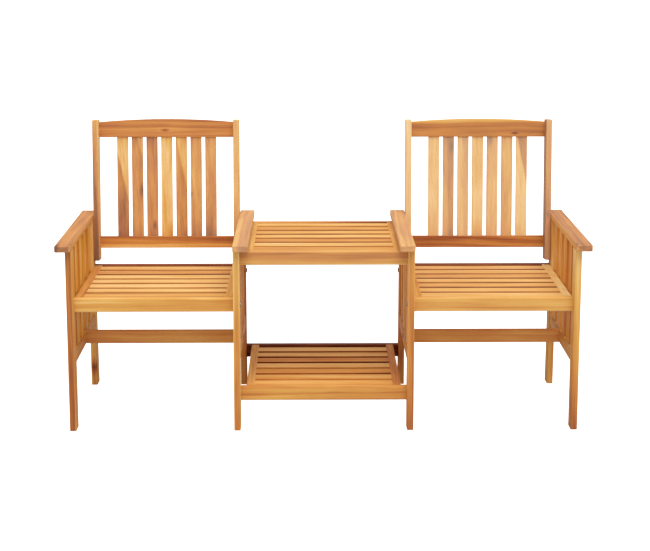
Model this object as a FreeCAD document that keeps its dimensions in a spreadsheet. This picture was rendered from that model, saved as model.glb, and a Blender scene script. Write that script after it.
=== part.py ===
import FreeCAD
import Part
import Sketcher
import math
import os
import re

# Companion seat bench: two slatted wooden armchairs joined by a slatted tea table with a lower shelf.
# Millimetres. X runs along the bench, Y from the front (-) to the back (+), Z up from the floor.
# The origin is on the floor, halfway along the bench and halfway along the armrests.
# Every size whose name ends in "reach" runs back from the front face of the front legs.

SIZES = {
    # Legs of the four side frames
    "leg_thick": 20,
    "leg_depth": 52,
    "leg_height": 571,
    "leg_round": 3,
    "rear_leg_depth": 54,
    "rear_leg_foot_reach": 495,
    "rear_leg_top_reach": 471,
    # Armrests
    "arm_length": 605,
    "arm_width": 48,
    "arm_thick": 20,
    "arm_front": 25,
    "arm_corner": 6,
    "arm_round": 3,
    # Lower rail and upright slats of a side frame
    "low_rail_thick": 16,
    "low_rail_tall": 42,
    "low_rail_height": 205,
    "low_rail_tenon": 20,
    "side_slat_width": 48,
    "side_slat_thick": 12,
    "side_slat_count": 4,
    "side_slat_tenon": 8,
    # Rail frames of the seats, the table and the shelf
    "rail_thick": 24,
    "rail_tall": 43,
    "rail_round": 4,
    "front_rail_reach": 26,
    "rear_rail_margin": 1,
    # Seats: clear width between side frames, top of the rails
    "seat_clear": 490,
    "seat_height": 416,
    "seat_side_thick": 26,
    "seat_side_inset": 0,
    "seat_slat_tail": 19,
    # Tea table between the chairs, hung just below the armrests
    "table_clear": 517,
    "table_drop": 8,
    "table_side_thick": 25,
    "table_side_inset": 17,
    "table_slat_tail": 13,
    # Shelf under the table
    "shelf_height": 133,
    "shelf_slat_tail": 30,
    # Slats of the seats, the table and the shelf, spaced evenly over what the lead and tail leave
    "slat_width": 50,
    "slat_thick": 14,
    "slat_count": 7,
    "slat_tenon": 8,
    "slat_lead": 1,
    "slat_sink": 1,
    # Stretcher between the lower rails of a chair
    "stretcher_thick": 20,
    "stretcher_reach": 279,
    # Backrests, set out in the leaning plane of their posts
    "back_lift": 19,
    "post_set_back": 12,
    "recline": 5,
    "post_thick": 20,
    "post_depth": 50,
    "post_length": 473,
    "back_rail_thick": 20,
    "back_rail_tenon": 9,
    "bottom_rail_start": 40,
    "bottom_rail_tall": 39,
    "top_rail_drop": 8,
    "top_rail_tall": 51,
    "top_rail_rise": 10,
    "back_slat_width": 37.4,
    "back_slat_thick": 12,
    "back_slat_gap": 11.9,
    "back_slat_count": 7,
    "back_slat_tenon": 8,
    # Joinery shared by all the boards
    "board_round": 2,
    "tenon_thick": 8,
    "tenon_shoulder": 4,
    "fit_gap": 0.2,
    # Bolts through the legs, with barrel nuts in the rails. The heads of the table's and the shelf's
    # bolts are sunk into the legs and posts, so that nothing stands out on the chair side.
    "bolt_thick": 6,
    "bolt_length": 76,
    "head_thick": 3.5,
    "head_width": 15,
    "head_edge": 1,
    "head_sink": 4.5,
    "socket_width": 4.6,
    "socket_depth": 2.2,
    "bolt_room": 0.6,
    "thread_room": 0.1,
    "nut_width": 10,
    "nut_length": 14,
    "nut_inset": 50,
    "tip_room": 4,
    # Bolts that hold the posts to the rear legs, with threaded inserts in the posts. Between the foot of
    # a post and the table's rear rail, the parts say how much of the spare height is under the low bolt
    # and over the high one.
    "back_bolt_length": 32,
    "low_back_bolt_part": 0.19,
    "high_back_bolt_part": 0.145,
    "insert_width": 10,
    "insert_length": 14,
    # Dowels: two in the end of each leg and two in each end of the side rails
    "dowel_thick": 8,
    "dowel_length": 36,
    "dowel_in_arm": 13,
    "dowel_in_rail": 14,
    "dowel_spacing": 24,
}

# Formulas shared by several sub-parts, written with the names above
FRONT = "(arm_front - arm_length / 2)"
LEG_LEAN = "(rear_leg_foot_reach - rear_leg_top_reach)"
LOW_RAIL_TOP = "(low_rail_height + low_rail_tall)"
LOW_RAIL_MIDDLE = "(low_rail_height + low_rail_tall / 2)"
INSIDE_FRONT_RAIL = "(front_rail_reach + rail_thick)"
TOPS = {"seat": "seat_height", "table": "(leg_height - table_drop)", "shelf": "shelf_height"}
BACK_HEIGHT = "(seat_height + back_lift)"
BACK_PITCH = "(back_slat_width + back_slat_gap)"
BORE = "(bolt_thick + bolt_room) / 2"
HEAD_BORE = "(head_width / 2 + bolt_room)"
DOWEL_BORE = "dowel_thick / 2 + fit_gap / 2"
INNER_FRAME = "((table_clear + leg_thick) / 2)"
OUTER_FRAME = "((table_clear + leg_thick) / 2 + seat_clear + leg_thick)"
CHAIR_MIDDLE = "((table_clear + seat_clear) / 2 + leg_thick)"
OVERCUT = 1
PARALLEL = 0.999
FLAT = 0.1

ALONG_X = FreeCAD.Rotation(FreeCAD.Vector(0, 1, 0), 90)
ALONG_Y = FreeCAD.Rotation(FreeCAD.Vector(1, 0, 0), -90)
ALONG_Z = FreeCAD.Rotation()

doc = FreeCAD.newDocument("companion_seat_bench")
subparts = []


def fill_sheet():
    """Put every size in the sheet, one row each, with its name as the alias."""
    sheet = doc.addObject("Spreadsheet::Sheet", "Sizes")
    for row, (name, value) in enumerate(SIZES.items(), 1):
        sheet.set(f"A{row}", name)
        sheet.set(f"B{row}", str(value))
        sheet.setAlias(f"B{row}", name)
    doc.recompute()


def cells(formula):
    """Turn the size names in a formula into references to the sheet."""
    return re.sub(r"[a-z_]+", lambda word: "Sizes." * (word[0] in SIZES) + word[0], str(formula))


def bind(item, formulas):
    """Bind properties of an object to formulas over the sheet."""
    for name, formula in formulas.items():
        item.setExpression(name, cells(formula))


def place(item, corner, turn=ALONG_Z):
    """Bind an object's position to three formulas, with a fixed rotation."""
    item.Placement = FreeCAD.Placement(FreeCAD.Vector(), turn)
    bind(item, dict(zip(("Placement.Base.x", "Placement.Base.y", "Placement.Base.z"), corner)))


def new_body(label, corner=(0, 0, 0)):
    """Start a sub-part: a body of its own, placed by formulas."""
    body = doc.addObject("PartDesign::Body", label)
    body.Label = label
    place(body, corner)
    subparts.append(body)
    return body


def origin_item(body, role):
    """One of a body's own origin planes or axes."""
    return next(item for item in body.Origin.OriginFeatures if item.Role == role)


def block(body, name, corner, size, cut=False):
    """A box that is added to a body, or cut from it."""
    kind = "PartDesign::SubtractiveBox" if cut else "PartDesign::AdditiveBox"
    box = body.newObject(kind, name)
    bind(box, dict(zip(("Length", "Width", "Height"), size)))
    place(box, corner)
    return box


def bore(body, name, corner, turn, radius, depth):
    """A round hole that starts at a point and runs along an axis."""
    hole = body.newObject("PartDesign::SubtractiveCylinder", name)
    bind(hole, {"Radius": radius, "Height": depth})
    place(hole, corner, turn)
    return hole


def runs_along(edge, direction):
    """Whether an edge is straight and parallel to a direction."""
    straight = edge.Curve.TypeId == "Part::GeomLine"
    return straight and abs(edge.tangentAt(edge.FirstParameter).dot(direction)) > PARALLEL


def soften(body, radius, wanted):
    """Round the edges of a body's last feature that a test picks out."""
    doc.recompute()
    base = body.Tip
    names = [f"Edge{number}" for number, edge in enumerate(base.Shape.Edges, 1) if wanted(edge)]
    fillet = body.newObject("PartDesign::Fillet", "Eased_edges")
    fillet.Base = (base, names)
    bind(fillet, {"Radius": radius})


def soften_along(body, radius, direction):
    """Round the edges that run along a direction."""
    direction.normalize()
    soften(body, radius, lambda edge: runs_along(edge, direction))


def soften_x(body, radius):
    soften_along(body, radius, FreeCAD.Vector(1, 0, 0))


def soften_y(body, radius):
    soften_along(body, radius, FreeCAD.Vector(0, 1, 0))


def soften_z(body, radius):
    soften_along(body, radius, FreeCAD.Vector(0, 0, 1))


def repeat(body, feature, role, pitch, count):
    """Repeat one feature, or the whole body where no feature is given, in a row."""
    row = body.newObject("PartDesign::LinearPattern", "Row")
    if feature:
        row.Originals = [feature]
    else:
        row.TransformMode = "Whole shape"
    row.Direction = (origin_item(body, role), [""])
    row.Mode = "Spacing"
    bind(row, {"Offset": pitch, "Occurrences": count})
    body.Tip = row


def new_sketch(body, role):
    sketch = body.newObject("Sketcher::SketchObject", "Outline")
    sketch.AttachmentSupport = [(origin_item(body, role), "")]
    sketch.MapMode = "FlatFace"
    return sketch


def fix(sketch, name, constraint, formula):
    """Add a dimension to a sketch and bind it to a formula."""
    number = sketch.addConstraint(constraint)
    sketch.renameConstraint(number, name)
    bind(sketch, {f"Constraints.{name}": formula})


def pad_outline(body, sketch, length, reverse=False, both_ways=False):
    pad = body.newObject("PartDesign::Pad", "Board")
    pad.Profile = sketch
    pad.Midplane = both_ways
    pad.Reversed = reverse
    bind(pad, {"Length": length})


def side_profile(body, foot_front, foot_back, top_front, top_back, tall):
    """Sketch a four-sided side view: level foot and top, each end free to slope."""
    size = FreeCAD.Vector(SIZES["leg_depth"], SIZES["leg_height"], 0)
    points = [FreeCAD.Vector(1, 0, 0), FreeCAD.Vector(size.x, 0, 0), size, FreeCAD.Vector(1, size.y, 0)]
    sketch = new_sketch(body, "YZ_Plane")
    for number, point in enumerate(points):
        sketch.addGeometry(Part.LineSegment(point, points[(number + 1) % len(points)]))
    for number in range(len(points)):
        sketch.addConstraint(Sketcher.Constraint("Coincident", number, 2, (number + 1) % len(points), 1))
    reaches = {"foot_front": foot_front, "foot_back": foot_back, "top_back": top_back, "top_front": top_front}
    for number, (name, formula) in enumerate(reaches.items()):
        fix(sketch, name, Sketcher.Constraint("DistanceX", -1, 1, number, 1, points[number].x), formula)
    sketch.addConstraint(Sketcher.Constraint("PointOnObject", 0, 1, -1))
    sketch.addConstraint(Sketcher.Constraint("Horizontal", 0))
    sketch.addConstraint(Sketcher.Constraint("Horizontal", 2))
    fix(sketch, "tall", Sketcher.Constraint("DistanceY", -1, 1, 2, 1, size.y), tall)
    return sketch


# Where the sub-parts meet the leaning rear legs

def leg_front_at(height):
    """How far back the leaning front edge of a rear leg lies at a height."""
    return f"(rear_leg_foot_reach - {LEG_LEAN} * ({height}) / leg_height)"


def bolt_height(tier):
    """Height of the bolts of a rail frame: the middle of its rails."""
    return f"({TOPS[tier]} - rail_tall / 2)"


def rear_rail_back(tier):
    """Back face of a rear rail, a little inside the back edge of the rear leg."""
    return f"({leg_front_at(bolt_height(tier))} + rear_leg_depth - rear_rail_margin)"


UNDER_TABLE_RAIL = f"({TOPS['table']} - rail_tall)"
SPARE_HEIGHT = f"({UNDER_TABLE_RAIL} - {BACK_HEIGHT} - (insert_width + 3 * head_width) / 2)"
BACK_BOLT_HEIGHTS = {
    "low": f"({BACK_HEIGHT} + insert_width / 2 + low_back_bolt_part * {SPARE_HEIGHT})",
    "high": f"({UNDER_TABLE_RAIL} - head_width / 2 - high_back_bolt_part * {SPARE_HEIGHT})",
}
BACK_BOLT_MIDDLE = f"(({BACK_BOLT_HEIGHTS['low']} + {BACK_BOLT_HEIGHTS['high']}) / 2)"
LEG_CENTRE_AT_BACK_BOLTS = f"({leg_front_at(BACK_BOLT_MIDDLE)} + rear_leg_depth / 2)"
BACK_BOLT_REACH = f"({LEG_CENTRE_AT_BACK_BOLTS} + post_set_back / 2)"
BACK_REACH = (f"({LEG_CENTRE_AT_BACK_BOLTS} + post_set_back - post_depth / 2"
              f" - ({BACK_BOLT_MIDDLE} - {BACK_HEIGHT}) * tan(recline))")


# Side frames

SIDE_SLAT_GAP = (f"(({leg_front_at(LOW_RAIL_TOP)} - leg_depth - side_slat_count * side_slat_width)"
                 " / (side_slat_count + 1))")
SIDE_SLAT_PITCH = f"({SIDE_SLAT_GAP} + side_slat_width)"
SIDE_SLAT_SPAN = f"(leg_height - {LOW_RAIL_TOP})"
LEG_TOP_MIDDLES = {"Front": f"{FRONT} + leg_depth / 2",
                   "Rear": f"{FRONT} + rear_leg_top_reach + rear_leg_depth / 2"}


def cross_bores(body, holes):
    """Bolt holes right through the thickness of a leg, one for each pair of reach and height."""
    for name, (reach, height) in holes.items():
        corner = (f"-leg_thick / 2 - {OVERCUT}", reach, height)
        bore(body, name, corner, ALONG_X, BORE, f"leg_thick + 2 * {OVERCUT}")


def sink_head(body, name, face, out, line):
    """A wider bore for a sunk bolt head, in a face that looks along X to the left (-1) or the right (1)."""
    start = f"{face} - {OVERCUT}" if out < 0 else f"{face} - head_sink"
    bore(body, f"{name}_head_hole", (start, *line), ALONG_X, HEAD_BORE, f"head_sink + {OVERCUT}")


def sink_heads(leg, chair_side, holes, tiers):
    """Sink the bolt heads of the table or the shelf into the chair side of a leg."""
    for tier in tiers:
        sink_head(leg, tier, f"{chair_side} * leg_thick / 2", chair_side, holes[f"{tier}_bolt_hole"])


def dowel_bores_down(body, middle, top):
    """Two dowel holes down into the top end of a leg."""
    depth = "(dowel_length - dowel_in_arm + fit_gap)"
    for name, step in (("Front_dowel_hole", "-"), ("Rear_dowel_hole", "+")):
        corner = (0, f"{middle} {step} dowel_spacing / 2", f"{top} - {depth}")
        bore(body, name, corner, ALONG_Z, DOWEL_BORE, f"{depth} + {OVERCUT}")


def frame_tiers(inner):
    """The rail frames that are bolted to a side frame."""
    return ("seat", "table", "shelf") if inner else ("seat",)


def front_leg(frame, across, chair_side, inner):
    leg = new_body(f"{frame}_front_leg", (across, FRONT, 0))
    block(leg, "Blank", ("-leg_thick / 2", 0, 0), ("leg_thick", "leg_depth", "leg_height"))
    soften_z(leg, "leg_round")
    mortise = ("-tenon_thick / 2 - fit_gap", "leg_depth - low_rail_tenon - fit_gap",
               "low_rail_height + tenon_shoulder - fit_gap")
    size = ("tenon_thick + 2 * fit_gap", f"low_rail_tenon + fit_gap + {OVERCUT}",
            "low_rail_tall - 2 * tenon_shoulder + 2 * fit_gap")
    block(leg, "Rail_mortise", mortise, size, cut=True)
    holes = {f"{tier}_bolt_hole": ("front_rail_reach + rail_thick / 2", bolt_height(tier))
             for tier in frame_tiers(inner)}
    cross_bores(leg, holes)
    if inner:
        sink_heads(leg, chair_side, holes, ("table", "shelf"))
    dowel_bores_down(leg, "leg_depth / 2", "leg_height")


def rear_leg(frame, across, chair_side, inner):
    """A rear leg leans forward from its foot; its foot and its top are cut level."""
    leg = new_body(f"{frame}_rear_leg", (across, f"{FRONT} + rear_leg_top_reach", 0))
    sketch = side_profile(leg, LEG_LEAN, f"{LEG_LEAN} + rear_leg_depth", "0", "rear_leg_depth", "leg_height")
    pad_outline(leg, sketch, "leg_thick", both_ways=True)
    lean = SIZES["rear_leg_foot_reach"] - SIZES["rear_leg_top_reach"]
    soften_along(leg, "leg_round", FreeCAD.Vector(0, -lean, SIZES["leg_height"]))
    start = f"({leg_front_at(LOW_RAIL_MIDDLE)} - rear_leg_top_reach)"
    mortise = ("-tenon_thick / 2 - fit_gap", f"{start} - low_rail_tenon",
               "low_rail_height + tenon_shoulder - fit_gap")
    size = ("tenon_thick + 2 * fit_gap", "2 * low_rail_tenon + fit_gap",
            "low_rail_tall - 2 * tenon_shoulder + 2 * fit_gap")
    block(leg, "Rail_mortise", mortise, size, cut=True)
    holes = {f"{tier}_bolt_hole": (f"{rear_rail_back(tier)} - rail_thick / 2 - rear_leg_top_reach",
                                   bolt_height(tier)) for tier in frame_tiers(inner)}
    for name, height in BACK_BOLT_HEIGHTS.items():
        holes[f"Back_bolt_hole_{name}"] = (f"{BACK_BOLT_REACH} - rear_leg_top_reach", height)
    cross_bores(leg, holes)
    if inner:
        sink_heads(leg, chair_side, holes, ("shelf",))
    dowel_bores_down(leg, "rear_leg_depth / 2", "leg_height")


def armrest(frame, across, out):
    """A flat armrest, flush with the chair side of its frame and overhanging the other side."""
    ledge = f"{out} * (arm_width - leg_thick) / 2"
    arm = new_body(f"{frame}_armrest", (f"{across} + {ledge}", 0, "leg_height"))
    block(arm, "Blank", ("-arm_width / 2", "-arm_length / 2", 0), ("arm_width", "arm_length", "arm_thick"))
    soften_z(arm, "arm_corner")
    soften(arm, "arm_round", lambda edge: edge.BoundBox.ZLength < FLAT)
    for end, middle in LEG_TOP_MIDDLES.items():
        for step in ("-", "+"):
            corner = (f"-{ledge}", f"{middle} {step} dowel_spacing / 2", -OVERCUT)
            bore(arm, f"{end}_dowel_hole", corner, ALONG_Z, DOWEL_BORE, f"dowel_in_arm + fit_gap + {OVERCUT}")
    corner = (f"-{ledge} - tenon_thick / 2 - fit_gap",
              f"{FRONT} + leg_depth + {SIDE_SLAT_GAP} + tenon_shoulder - fit_gap", -OVERCUT)
    size = ("tenon_thick + 2 * fit_gap", "side_slat_width - 2 * tenon_shoulder + 2 * fit_gap",
            f"side_slat_tenon + fit_gap + {OVERCUT}")
    mortise = block(arm, "Slat_mortise", corner, size, cut=True)
    repeat(arm, mortise, "Y_Axis", SIDE_SLAT_PITCH, "side_slat_count")


def lower_rail(frame, across):
    """The lower rail of a side frame, tenoned into both legs, with mortises for the upright slats."""
    rail = new_body(f"{frame}_lower_rail", (across, f"{FRONT} + leg_depth", "low_rail_height"))
    bottom = f"{leg_front_at('low_rail_height')} - leg_depth"
    top = f"{leg_front_at(LOW_RAIL_TOP)} - leg_depth"
    middle = f"{leg_front_at(LOW_RAIL_MIDDLE)} - leg_depth"
    sketch = side_profile(rail, "0", bottom, "0", top, "low_rail_tall")
    pad_outline(rail, sketch, "low_rail_thick", both_ways=True)
    soften_y(rail, "board_round")
    size = ("tenon_thick", "2 * low_rail_tenon", "low_rail_tall - 2 * tenon_shoulder")
    block(rail, "Front_tenon", ("-tenon_thick / 2", "-low_rail_tenon", "tenon_shoulder"), size)
    block(rail, "Rear_tenon", ("-tenon_thick / 2", f"{middle} - low_rail_tenon", "tenon_shoulder"), size)
    bore(rail, "Stretcher_bolt_hole",
         (f"-low_rail_thick / 2 - {OVERCUT}", "stretcher_reach + stretcher_thick / 2 - leg_depth",
          "low_rail_tall / 2"), ALONG_X, BORE, f"low_rail_thick + 2 * {OVERCUT}")
    corner = ("-tenon_thick / 2 - fit_gap", f"{SIDE_SLAT_GAP} + tenon_shoulder - fit_gap",
              "low_rail_tall - side_slat_tenon - fit_gap")
    size = ("tenon_thick + 2 * fit_gap", "side_slat_width - 2 * tenon_shoulder + 2 * fit_gap",
            f"side_slat_tenon + fit_gap + {OVERCUT}")
    mortise = block(rail, "Slat_mortise", corner, size, cut=True)
    repeat(rail, mortise, "Y_Axis", SIDE_SLAT_PITCH, "side_slat_count")


def side_slats(frame, across):
    """The upright slats between the lower rail and the armrest, all alike and evenly spaced."""
    corner = (across, f"{FRONT} + leg_depth + {SIDE_SLAT_GAP}", LOW_RAIL_TOP)
    slats = new_body(f"{frame}_side_slats", corner)
    slats.AllowCompound = True
    size = ("side_slat_thick", "side_slat_width", SIDE_SLAT_SPAN)
    block(slats, "Blank", ("-side_slat_thick / 2", 0, 0), size)
    soften_z(slats, "board_round")
    block(slats, "Tenons", ("-tenon_thick / 2", "tenon_shoulder", "-side_slat_tenon"),
          ("tenon_thick", "side_slat_width - 2 * tenon_shoulder", f"{SIDE_SLAT_SPAN} + 2 * side_slat_tenon"))
    repeat(slats, None, "Y_Axis", SIDE_SLAT_PITCH, "side_slat_count")


# Rail frames with slats: the seats, the table and the shelf

DOWEL_RISES = ("(rail_tall - dowel_spacing) / 2", "(rail_tall + dowel_spacing) / 2")
BOLT_BORE_DEPTH = "(bolt_length - low_rail_thick + tip_room)"


def rail_end_bores(rail, half, thick, tall):
    """Bolt holes into both ends of a rail, and the upright holes for their barrel nuts."""
    starts = {"-": f"-{half} - {OVERCUT}", "": f"{half} - {BOLT_BORE_DEPTH}"}
    for end, sign in (("Left", "-"), ("Right", "")):
        bore(rail, f"{end}_bolt_hole", (starts[sign], f"{thick} / 2", f"{tall} / 2"), ALONG_X, BORE,
             f"{BOLT_BORE_DEPTH} + {OVERCUT}")
        bore(rail, f"{end}_nut_hole", (f"{sign}({half} - nut_inset)", f"{thick} / 2", -OVERCUT), ALONG_Z,
             "(nut_width + fit_gap) / 2", f"({tall} + nut_length + fit_gap) / 2 + {OVERCUT}")


def cross_rail(label, across, clear, inset, thick, front, top, inner_side):
    """A front or rear rail that runs from side frame to side frame."""
    rail = new_body(label, (across, f"{FRONT} + {front}", f"{top} - rail_tall"))
    half = f"({clear} / 2)"
    block(rail, "Blank", (f"-{half}", 0, 0), (clear, "rail_thick", "rail_tall"))
    soften_x(rail, "rail_round")
    rail_end_bores(rail, half, "rail_thick", "rail_tall")
    start = "rail_thick - dowel_in_rail - fit_gap" if inner_side > 0 else -OVERCUT
    for sign in ("-", ""):
        for rise in DOWEL_RISES:
            corner = (f"{sign}({half} - {inset} - {thick} / 2)", start, rise)
            bore(rail, "Dowel_hole", corner, ALONG_Y, DOWEL_BORE, f"dowel_in_rail + fit_gap + {OVERCUT}")


def side_rail(label, across, thick, length, top, slat_side, slat_pitch):
    """A side rail between the front and rear rails, with a mortise for each slat."""
    rail = new_body(label, (across, f"{FRONT} + {INSIDE_FRONT_RAIL}", f"{top} - rail_tall"))
    block(rail, "Blank", (f"-{thick} / 2", 0, 0), (thick, length, "rail_tall"))
    soften_y(rail, "board_round")
    depth = "(dowel_length - dowel_in_rail + fit_gap)"
    for start in (-OVERCUT, f"{length} - {depth}"):
        for rise in DOWEL_RISES:
            bore(rail, "Dowel_hole", (0, start, rise), ALONG_Y, DOWEL_BORE, f"{depth} + {OVERCUT}")
    start = f"{thick} / 2 - slat_tenon - fit_gap" if slat_side > 0 else f"-{thick} / 2 - {OVERCUT}"
    corner = (start, "slat_lead + tenon_shoulder - fit_gap",
              "rail_tall - slat_sink - slat_thick / 2 - tenon_thick / 2 - fit_gap")
    size = (f"slat_tenon + fit_gap + {OVERCUT}", "slat_width - 2 * tenon_shoulder + 2 * fit_gap",
            "tenon_thick + 2 * fit_gap")
    mortise = block(rail, "Slat_mortise", corner, size, cut=True)
    repeat(rail, mortise, "Y_Axis", slat_pitch, "slat_count")


def cross_slats(label, across, span, top, slat_pitch):
    """The slats of a rail frame, tenoned into its side rails."""
    corner = (across, f"{FRONT} + {INSIDE_FRONT_RAIL} + slat_lead", f"{top} - slat_sink - slat_thick")
    slats = new_body(label, corner)
    slats.AllowCompound = True
    block(slats, "Blank", (f"-{span} / 2", 0, 0), (span, "slat_width", "slat_thick"))
    soften_x(slats, "board_round")
    block(slats, "Tenons", (f"-{span} / 2 - slat_tenon", "tenon_shoulder", "(slat_thick - tenon_thick) / 2"),
          (f"{span} + 2 * slat_tenon", "slat_width - 2 * tenon_shoulder", "tenon_thick"))
    repeat(slats, None, "Y_Axis", slat_pitch, "slat_count")


def frame_sizes(tier):
    """Clear width, inset and thickness of the side rails: the shelf's are those of the table."""
    kind = "seat" if tier == "seat" else "table"
    return f"{kind}_clear", f"{kind}_side_inset", f"{kind}_side_thick"


def rail_frame(name, tier, sides, across):
    """Front rail, rear rail, two side rails and the slats between them."""
    clear, inset, thick = frame_sizes(tier)
    top = TOPS[tier]
    rear = f"({rear_rail_back(tier)} - rail_thick)"
    length = f"({rear} - {INSIDE_FRONT_RAIL})"
    pitch = f"(({length} - slat_lead - {tier}_slat_tail - slat_width) / (slat_count - 1))"
    cross_rail(f"{name}_front_rail", across, clear, inset, thick, "front_rail_reach", top, 1)
    cross_rail(f"{name}_rear_rail", across, clear, inset, thick, rear, top, -1)
    for side, sign in zip(sides, (-1, 1)):
        middle = f"{across} + {sign} * ({clear} / 2 - {inset} - {thick} / 2)"
        side_rail(f"{name}_{side}_rail", middle, thick, length, top, -sign, pitch)
    span = f"({clear} - 2 * {inset} - 2 * {thick})"
    cross_slats(f"{name}_slats", across, span, top, pitch)


def stretcher(chair, across):
    """The stretcher that ties the lower rails of a chair together."""
    length = "(seat_clear + leg_thick - low_rail_thick)"
    bar = new_body(f"{chair}_stretcher", (across, f"{FRONT} + stretcher_reach", "low_rail_height"))
    block(bar, "Blank", (f"-{length} / 2", 0, 0), (length, "stretcher_thick", "low_rail_tall"))
    soften_x(bar, "board_round")
    rail_end_bores(bar, f"({length} / 2)", "stretcher_thick", "low_rail_tall")


# Backrests, every sub-part set out from the lower front corner of the posts

BACK_SPAN = "(seat_clear - 2 * post_thick)"
BACK_RAIL_FRONT = "(post_depth - back_rail_thick)"
TOP_RAIL_START = "(post_length - top_rail_drop - top_rail_tall)"
BACK_SLATS_LENGTH = f"({TOP_RAIL_START} - bottom_rail_start - bottom_rail_tall)"
BACK_SLATS_START = f"(-(back_slat_count * {BACK_PITCH} - back_slat_gap) / 2)"
BACK_SLAT_FRONT = f"({BACK_RAIL_FRONT} + (back_rail_thick - back_slat_thick) / 2)"
BACK_TENON_FRONT = f"({BACK_RAIL_FRONT} + (back_rail_thick - tenon_thick) / 2)"


def back_body(label, across):
    """A body in the leaning plane of a backrest."""
    body = new_body(label)
    lean = FreeCAD.Rotation(FreeCAD.Vector(-1, 0, 0), SIZES["recline"])
    place(body, (across, f"{FRONT} + {BACK_REACH}", BACK_HEIGHT), lean)
    bind(body, {"Placement.Rotation.Angle": "recline"})
    return body


def post_point(reach, height):
    """Where a point of the side view lies in the leaning plane: depth and rise."""
    depth = f"(({reach} - {BACK_REACH}) * cos(recline) - ({height} - {BACK_HEIGHT}) * sin(recline))"
    rise = f"(({reach} - {BACK_REACH}) * sin(recline) + ({height} - {BACK_HEIGHT}) * cos(recline))"
    return depth, rise


def back_post(label, across, sign, inner):
    """A post, bolted to the inner face of a rear leg, with mortises for the two rails.

    The post beside the table also lets through the bolt of the table's rear rail."""
    post = back_body(label, across)
    outer = f"{sign} * seat_clear / 2"
    inside = f"({outer} - {sign} * post_thick)"
    block(post, "Blank", (outer if sign < 0 else inside, 0, 0), ("post_thick", "post_depth", "post_length"))
    soften(post, "leg_round", lambda edge: True)
    rails = {"Bottom_rail": ("bottom_rail_start", "bottom_rail_tall"),
             "Top_rail": (TOP_RAIL_START, "top_rail_tall")}
    start = f"{inside} - back_rail_tenon - fit_gap" if sign < 0 else f"{inside} - {OVERCUT}"
    for name, (low, tall) in rails.items():
        block(post, f"{name}_mortise",
              (start, f"{BACK_TENON_FRONT} - fit_gap", f"{low} + tenon_shoulder - fit_gap"),
              (f"back_rail_tenon + fit_gap + {OVERCUT}", "tenon_thick + 2 * fit_gap",
               f"{tall} - 2 * tenon_shoulder + 2 * fit_gap"), cut=True)
    start = f"{outer} - {OVERCUT}" if sign < 0 else f"{outer} - insert_length - fit_gap"
    for name, height in BACK_BOLT_HEIGHTS.items():
        bore(post, f"Insert_hole_{name}", (start, *post_point(BACK_BOLT_REACH, height)), ALONG_X,
             "(insert_width + fit_gap) / 2", f"insert_length + fit_gap + {OVERCUT}")
    if inner:
        start = f"{outer if sign < 0 else inside} - {OVERCUT}"
        line = post_point(f"({rear_rail_back('table')} - rail_thick / 2)", bolt_height("table"))
        bore(post, "Table_bolt_hole", (start, *line), ALONG_X, BORE, f"post_thick + 2 * {OVERCUT}")
        sink_head(post, "Table_bolt", inside, -sign, line)


def back_tenons(rail, low, tall):
    """One bar through a rail, which stands out at both ends as its tenons."""
    corner = (f"-{BACK_SPAN} / 2 - back_rail_tenon", BACK_TENON_FRONT, f"{low} + tenon_shoulder")
    block(rail, "Tenons", corner,
          (f"{BACK_SPAN} + 2 * back_rail_tenon", "tenon_thick", f"{tall} - 2 * tenon_shoulder"))


def back_slat_mortises(rail, low):
    corner = (f"{BACK_SLATS_START} + tenon_shoulder - fit_gap", f"{BACK_TENON_FRONT} - fit_gap", low)
    size = ("back_slat_width - 2 * tenon_shoulder + 2 * fit_gap", "tenon_thick + 2 * fit_gap",
            f"back_slat_tenon + fit_gap + {OVERCUT}")
    mortise = block(rail, "Slat_mortise", corner, size, cut=True)
    repeat(rail, mortise, "X_Axis", BACK_PITCH, "back_slat_count")


def bottom_rail(label, across):
    rail = back_body(label, across)
    block(rail, "Blank", (f"-{BACK_SPAN} / 2", BACK_RAIL_FRONT, "bottom_rail_start"),
          (BACK_SPAN, "back_rail_thick", "bottom_rail_tall"))
    soften_x(rail, "board_round")
    back_tenons(rail, "bottom_rail_start", "bottom_rail_tall")
    back_slat_mortises(rail, "bottom_rail_start + bottom_rail_tall - back_slat_tenon - fit_gap")


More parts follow.
